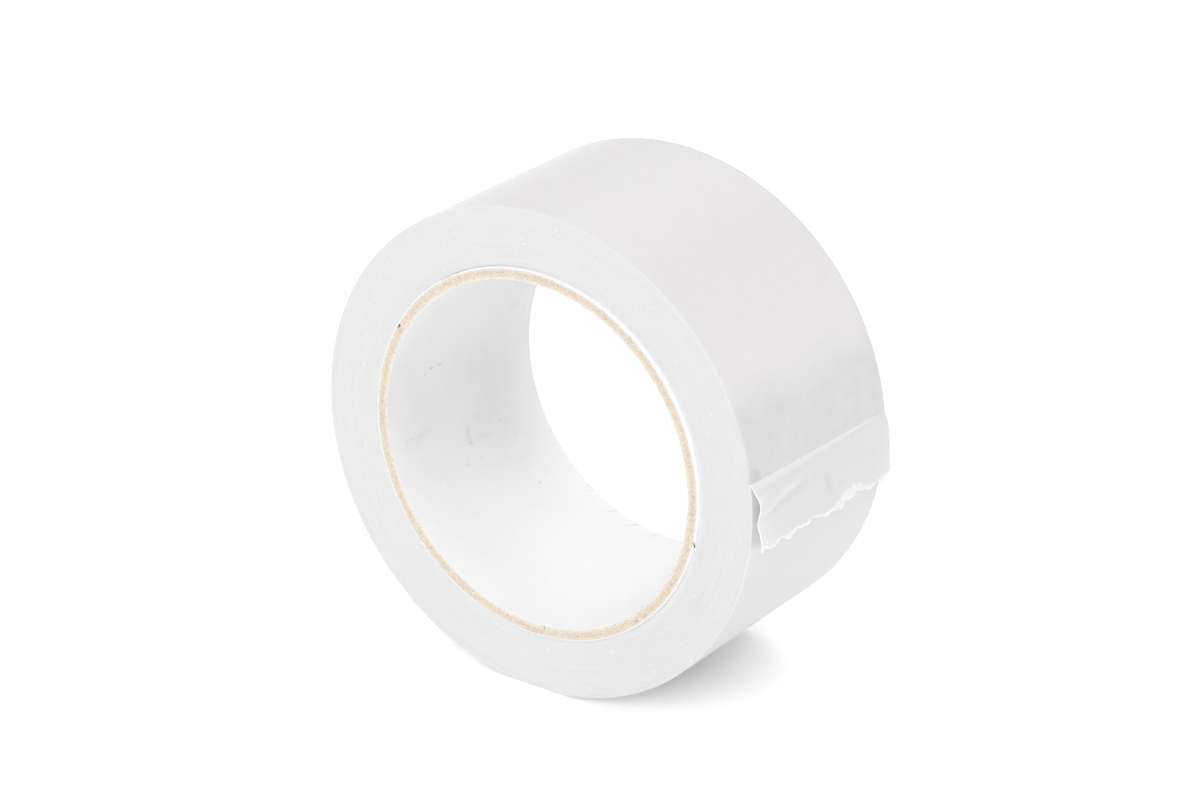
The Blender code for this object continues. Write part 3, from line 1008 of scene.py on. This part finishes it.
side = columns_across(END_COLUMNS)[None, ::-1]
shares = np.concatenate([np.linspace(0.0, FRINGE_SHARE, LONG_ROWS + 1)[:-1],
                         np.linspace(FRINGE_SHARE, 1.0, TORN_ROWS + 1)])[:, None]
nicks = np.clip(waver(side, 0.0, NICK_PITCH, 34) - NICK_LEAST, 0.0, None)
tear_line = line_across(side, TEAR, TEAR_ROUGH, 31) - nicks * NICK_DEPTH
distance = shares * tear_line
fringe_line = np.minimum(line_across(side, FRINGE, FRINGE_ROUGH, 37), tear_line - FRINGE_LEAST)
torn = ease((distance - fringe_line) / FRINGE_SOFT)
height = lift(side, distance) - edge_drop(side, LIP_DROP)
height = height + torn * (waver(distance, side, FRINGE_PITCH, 41) - 1.0) * FRINGE_RELIEF
height = height + FRINGE_CURL * ease((distance - fringe_line) / (tear_line - fringe_line))
angle = crease_angle(side) - distance / ROLL_RADIUS
places = polar(angle, ROLL_RADIUS + height, side)
end_mesh = grid_mesh("free_end", places)

# %% [markdown]
# Stretched film is white in the fringe, whose lobes are greyer inside. Along the slit edges and
# at the crease it is whiter too, partly stretched film and partly a painted highlight. Attributes
# say where, because they can follow the same lines as the shape.

# %% Whitening of the free end
LIP_WHITE_AND_HIGHLIGHT = 0.26 * MM
LIP_SOFT = 0.08 * MM
LOBE_RIM = 0.24 * MM
LOBE_GREY = 0.32
CREASE_WIDTH = ((-25.0, 0.7), (-12.0, 0.9), (10.0, 1.8), (25.0, 2.6))
CREASE_FULL = 0.375
CREASE_FADE = (-36.0 * MM, 24.0 * MM)

# painted highlight, partly: a white line along the slit edges
lip_white_and_highlight = ease((np.abs(side) - HALF_TAPE + LIP_WHITE_AND_HIGHLIGHT) / LIP_SOFT)
# painted highlight on the fold ridges and painted shade in the troughs
tone = fold_sum(side, distance, FOLD_PAINTED_TONE)
paint(end_mesh, "edge", np.maximum(lip_white_and_highlight, tone))
paint(end_mesh, "pressed_and_shaded", np.maximum(-tone, 0.0))
past_fringe = ease((distance - fringe_line) / LOBE_RIM - 0.5)
inside = past_fringe * ease((tear_line - distance) / LOBE_RIM - 0.5)
paint(end_mesh, "torn", torn * (1.0 - LOBE_GREY * inside))
crease_sides, crease_widths = np.array(CREASE_WIDTH).T * MM
off_crease = distance / np.interp(side, crease_sides, crease_widths)
# painted highlight, partly: a whiter band along the crease
crease_white_and_highlight = 1.0 - ease((off_crease - CREASE_FULL) / (1.0 - CREASE_FULL))
paint(end_mesh, "crease_white_and_highlight", crease_white_and_highlight * ease((side - CREASE_FADE[0]) / CREASE_FADE[1]))
free_end = add_piece("free_end_film", end_mesh, free_film_finish)
print("free end: %d faces" % wall(free_end))

# %% [markdown]
# At other poses the end swings about the crease. Here the crease gives two directions, out from
# the roll and down the tape towards the ground, and the free end's place is applied to its mesh.

# %% Directions at the crease
outward = Vector((math.cos(CREASE), 0.0, math.sin(CREASE)))
down_tape = hinge_axis.cross(outward).normalized()
if down_tape.z > 0:
    down_tape = -down_tape
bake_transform(free_end)
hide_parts("free_end")

# %% [markdown]
# ## Flecks
# Slitting leaves tiny burrs of film on the roll's sides, and sawing leaves loose fibres on the
# board's ends. Both are slivers scattered on a ring, laid along the circle or askew. One tree
# makes them: random places in polar form, and a thin sliver on each. By hand it would take
# days, and in a tree the number, the size and the seed stay easy to change.

# %% Tree for flecks on a ring
DRAWS_PER_FLECK = 8.0
SMALLEST = 0.35
FLATNESS = 0.4


def make_fleck_tree():
    numbers = ("Inner", "Outer", "Width", "Dish", "Length", "Thickness", "Askew")
    tree, enter = new_tree("flecks on a ring", numbers, ("Count", "Seed"))
    index = add_node(tree, "GeometryNodeInputIndex").outputs[0]

    def draw(low, high, channel):
        number = maths('MULTIPLY_ADD', index, DRAWS_PER_FLECK, channel)
        inputs = {2: low, 3: high, "ID": number, "Seed": enter["Seed"]}
        return join("FunctionNodeRandomValue", inputs, data_type='FLOAT').outputs[1]

    points = join("GeometryNodePoints", {"Count": enter["Count"]}).outputs[0]
    angle = draw(0.0, FULL_TURN, 0.0)
    radius = draw(enter["Inner"], enter["Outer"], 1.0)
    back = maths('SIGN', draw(-1.0, 1.0, 2.0))
    ring = maths('SUBTRACT', enter["Outer"], enter["Inner"])
    inward = maths('DIVIDE', maths('SUBTRACT', enter["Outer"], radius), ring)
    width = maths('SUBTRACT', enter["Width"], times(enter["Dish"], inward))
    right = times(radius, maths('COSINE', angle))
    up = maths('MULTIPLY_ADD', radius, maths('SINE', angle), AXIS_HEIGHT)
    place = vector(right, times(back, width), up)
    spots = join("GeometryNodeSetPosition", {"Geometry": points, "Position": place})
    skew = times(draw(-1.0, 1.0, 3.0), enter["Askew"])
    aim = maths('SUBTRACT', skew, maths('ADD', angle, math.pi / 2))
    size = draw(SMALLEST, 1.0, 4.0)
    long = times(times(size, size), enter["Length"])
    flat = times(enter["Thickness"], FLATNESS)
    stretch = vector(long, flat, times(size, enter["Thickness"]))
    sliver = add_node(tree, "GeometryNodeMeshIcoSphere", {"Radius": 0.5, "Subdivisions": 1})
    placed = join("GeometryNodeInstanceOnPoints", {
        "Points": spots.outputs[0], "Instance": sliver.outputs["Mesh"],
        "Rotation": vector(y=aim), "Scale": stretch})
    end_tree(enter, placed.outputs[0])
    return tree


fleck_tree = make_fleck_tree()

# %% [markdown]
# Each kind of fleck has its finish, its slot and a value for every input of the tree: how many
# there are, the ring they lie on, their size, how far askew they lie, and the seed.

# %% Burrs and fibres
BURR_TONES = ((0.98, 0.98, 0.98), (0.93, 0.93, 0.93))
PALE_TONES = ((0.93, 0.87, 0.78), (0.88, 0.79, 0.66))
DARK_TONES = ((0.45, 0.33, 0.22), (0.62, 0.48, 0.34))
FLECK_NOISE = 500.0


def make_fleck_finish(name, first, second):
    material, tree, shader, place = new_finish(name, 0.7, 0.2)
    colour = tint(noise(place, FLECK_NOISE), first, second)
    tree.links.new(colour, shader.inputs["Base Color"])
    return material


burr_finish = make_fleck_finish("film burrs", *BURR_TONES)
pale_finish = make_fleck_finish("pale fibres", *PALE_TONES)
dark_finish = make_fleck_finish("dark fibres", *DARK_TONES)

middle = (board_inner + board_outer) / 2
slit_inner = pack_inner + 0.8 * MM
slit_dish = DISH * (pack_outer - slit_inner) / (pack_outer - pack_inner)
burr_side = HALF_TAPE - 0.015 * MM
tag_side = HALF_TAPE - 0.01 * MM
cut_end = HALF_CORE - 0.05 * MM
FLECK_INPUTS = ("Count", "Inner", "Outer", "Width", "Dish", "Length", "Thickness", "Askew", "Seed")
FLECKS = (
    ("slit_burrs", burr_finish, "white_tape", 420,
     slit_inner, pack_outer, burr_side, slit_dish, 0.8 * MM, 0.16 * MM, 0.35, 5),
    ("slit_tags", burr_finish, "white_tape", 130,
     slit_inner, pack_outer, tag_side, slit_dish, 1.3 * MM, 0.24 * MM, 0.25, 9),
    ("board_fibres_pale", pale_finish, "kraft_board", 1500,
     board_inner, board_outer, cut_end, 0.0, 0.8 * MM, 0.045 * MM, 1.2, 6),
    ("board_fibres_dark", dark_finish, "kraft_board", 900,
     board_inner + 0.3 * MM, board_outer - 0.2 * MM, cut_end, 0.0, 0.5 * MM, 0.045 * MM, 0.7, 7),
    ("board_glue_line", dark_finish, "kraft_board", 360,
     middle + 0.2 * MM, middle + 0.6 * MM, cut_end, 0.0, 0.8 * MM, 0.055 * MM, 0.2, 8))

for name, finish, slot, *values in FLECKS:
    inputs = dict(zip(FLECK_INPUTS, values))
    flecks = grow(name, fleck_tree, {**inputs, "Material": finish})
    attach(flecks, "roll")

# %% [markdown]
# ## Floor and backdrop
# The roll stands on a white sheet that runs out of sight. The sheet scatters light like matt
# paper, and what the camera sees of it is lifted to white: little beside the roll, so that its
# shadow shows, more farther out, and so much far away that no horizon shows. A lamp for the
# sheet alone would light the roll too, so the sheet glows, and only for rays that are seen.

# %% Floor
FLOOR_SIZE = 4.0
FLOOR_DROP = 0.03 * MM
FLOOR_WHITE = (0.98, 0.98, 0.98, 1.0)
FLOOR_OVAL = (1.0, 1.6, 0.0)
LIFT_NEAR = 0.05
LIFT_FAR = 0.28
LIFT_REACH = (24.0 * MM, 52.0 * MM)
LIFT_OUT = 0.8
OUT_REACH = (150.0 * MM, 600.0 * MM)


def seen_rays(tree):
    path = add_node(tree, "ShaderNodeLightPath").outputs
    seen = maths('MAXIMUM', path["Is Camera Ray"], path["Is Glossy Ray"])
    return maths('MAXIMUM', seen, path["Is Transmission Ray"])


def make_floor():
    material = bpy.data.materials.new("white sheet")
    material.use_nodes = True
    tree = material.node_tree
    tree.nodes.clear()
    matt = add_node(tree, "ShaderNodeBsdfDiffuse", {"Color": FLOOR_WHITE})
    place = add_node(tree, "ShaderNodeTexCoord").outputs["Object"]
    oval = join("ShaderNodeVectorMath", {0: place, 1: FLOOR_OVAL}, operation='MULTIPLY')
    reach = length_of(oval.outputs[0])
    near = spread(reach, *LIFT_REACH, LIFT_NEAR, LIFT_FAR)
    lifted = maths('ADD', near, spread(reach, *OUT_REACH, 0.0, LIFT_OUT))
    strength = times(seen_rays(tree), lifted)
    glow = join("ShaderNodeEmission", {"Strength": strength})
    both = join("ShaderNodeAddShader", {0: matt.outputs[0], 1: glow.outputs[0]})
    join("ShaderNodeOutputMaterial", {"Surface": both.outputs[0]})
    return material


floor_ends = np.array((-0.5, 0.5)) * FLOOR_SIZE
floor_places = np.broadcast_arrays(floor_ends[:, None], floor_ends[None, :], -FLOOR_DROP)
floor = add_piece("floor", grid_mesh("floor", np.stack(floor_places, axis=-1)), make_floor())
print("floor: %.1f m wide, %.2f mm below the roll" % (FLOOR_SIZE, FLOOR_DROP / MM))

# %% [markdown]
# ## Light
# A white tent gives a third of the light. Four round soft boxes give the rest: one in front,
# one behind and one at each side. The two at the sides are low, so that they also reach under
# the roll's curve. Each is placed by its turn from the front and its height above the floor, in
# degrees, and has its own power and size. The camera sees the tent as plain white.

# %% World and lamps
TENT_STRENGTH = 0.32
TENT_WHITE = (1.0, 1.0, 1.0, 1.0)
LAMP_DISTANCE = 4.0
LAMPS = (
    ("front", 22.0, 34.0, 88.5, 2.7),
    ("left", -90.0, 20.0, 61.0, 2.7),
    ("behind", -160.0, 50.0, 43.0, 2.7),
    ("right", 90.0, 12.0, 39.0, 1.6))


def make_world():
    world = bpy.data.worlds.new("white tent")
    bpy.context.scene.world = world
    world.use_nodes = True
    tree = world.node_tree
    tree.nodes.clear()
    strength = spread(seen_rays(tree), 0.0, 1.0, TENT_STRENGTH, 1.0)
    sky = join("ShaderNodeBackground", {"Color": TENT_WHITE, "Strength": strength})
    join("ShaderNodeOutputWorld", {"Surface": sky.outputs[0]})


def add_lamp(name, turn, height, power, size):
    light = bpy.data.lights.new(name, 'AREA')
    light.shape = 'DISK'
    light.size = size
    light.energy = power
    flat = math.cos(height * DEGREE)
    across = math.sin(turn * DEGREE) * flat
    out = Vector((across, -math.cos(turn * DEGREE) * flat, math.sin(height * DEGREE)))
    lamp = new_object(name, light)
    lamp.location = Vector((0.0, 0.0, AXIS_HEIGHT)) + out * LAMP_DISTANCE
    lamp.rotation_euler = (-out).to_track_quat('-Z', 'Y').to_euler()


make_world()
for lamp in LAMPS:
    add_lamp(*lamp)
print("lamps: %d" % len(LAMPS))

# %% [markdown]
# ## Camera
# The camera looks at the roll from the right and from above. Its lens is long, so that the far
# rim is hardly smaller than the near one. The Standard view keeps white paper white.

# %% Camera
CAMERA_PLACE = (412.21 * MM, -579.50 * MM, 368.14 * MM)
CAMERA_TILT = (90.0 - 23.65) * DEGREE
CAMERA_TURN = 35.5 * DEGREE
CAMERA_LENS = 111.45
CLIP_START = 0.01

camera_data = bpy.data.cameras.new("camera")
camera_data.lens = CAMERA_LENS
camera_data.clip_start = CLIP_START
camera = new_object("camera", camera_data)
camera.location = CAMERA_PLACE
camera.rotation_euler = (CAMERA_TILT, 0.0, CAMERA_TURN)
bpy.context.scene.camera = camera
bpy.context.scene.view_settings.view_transform = 'Standard'
print("camera: %.1f mm lens" % CAMERA_LENS)
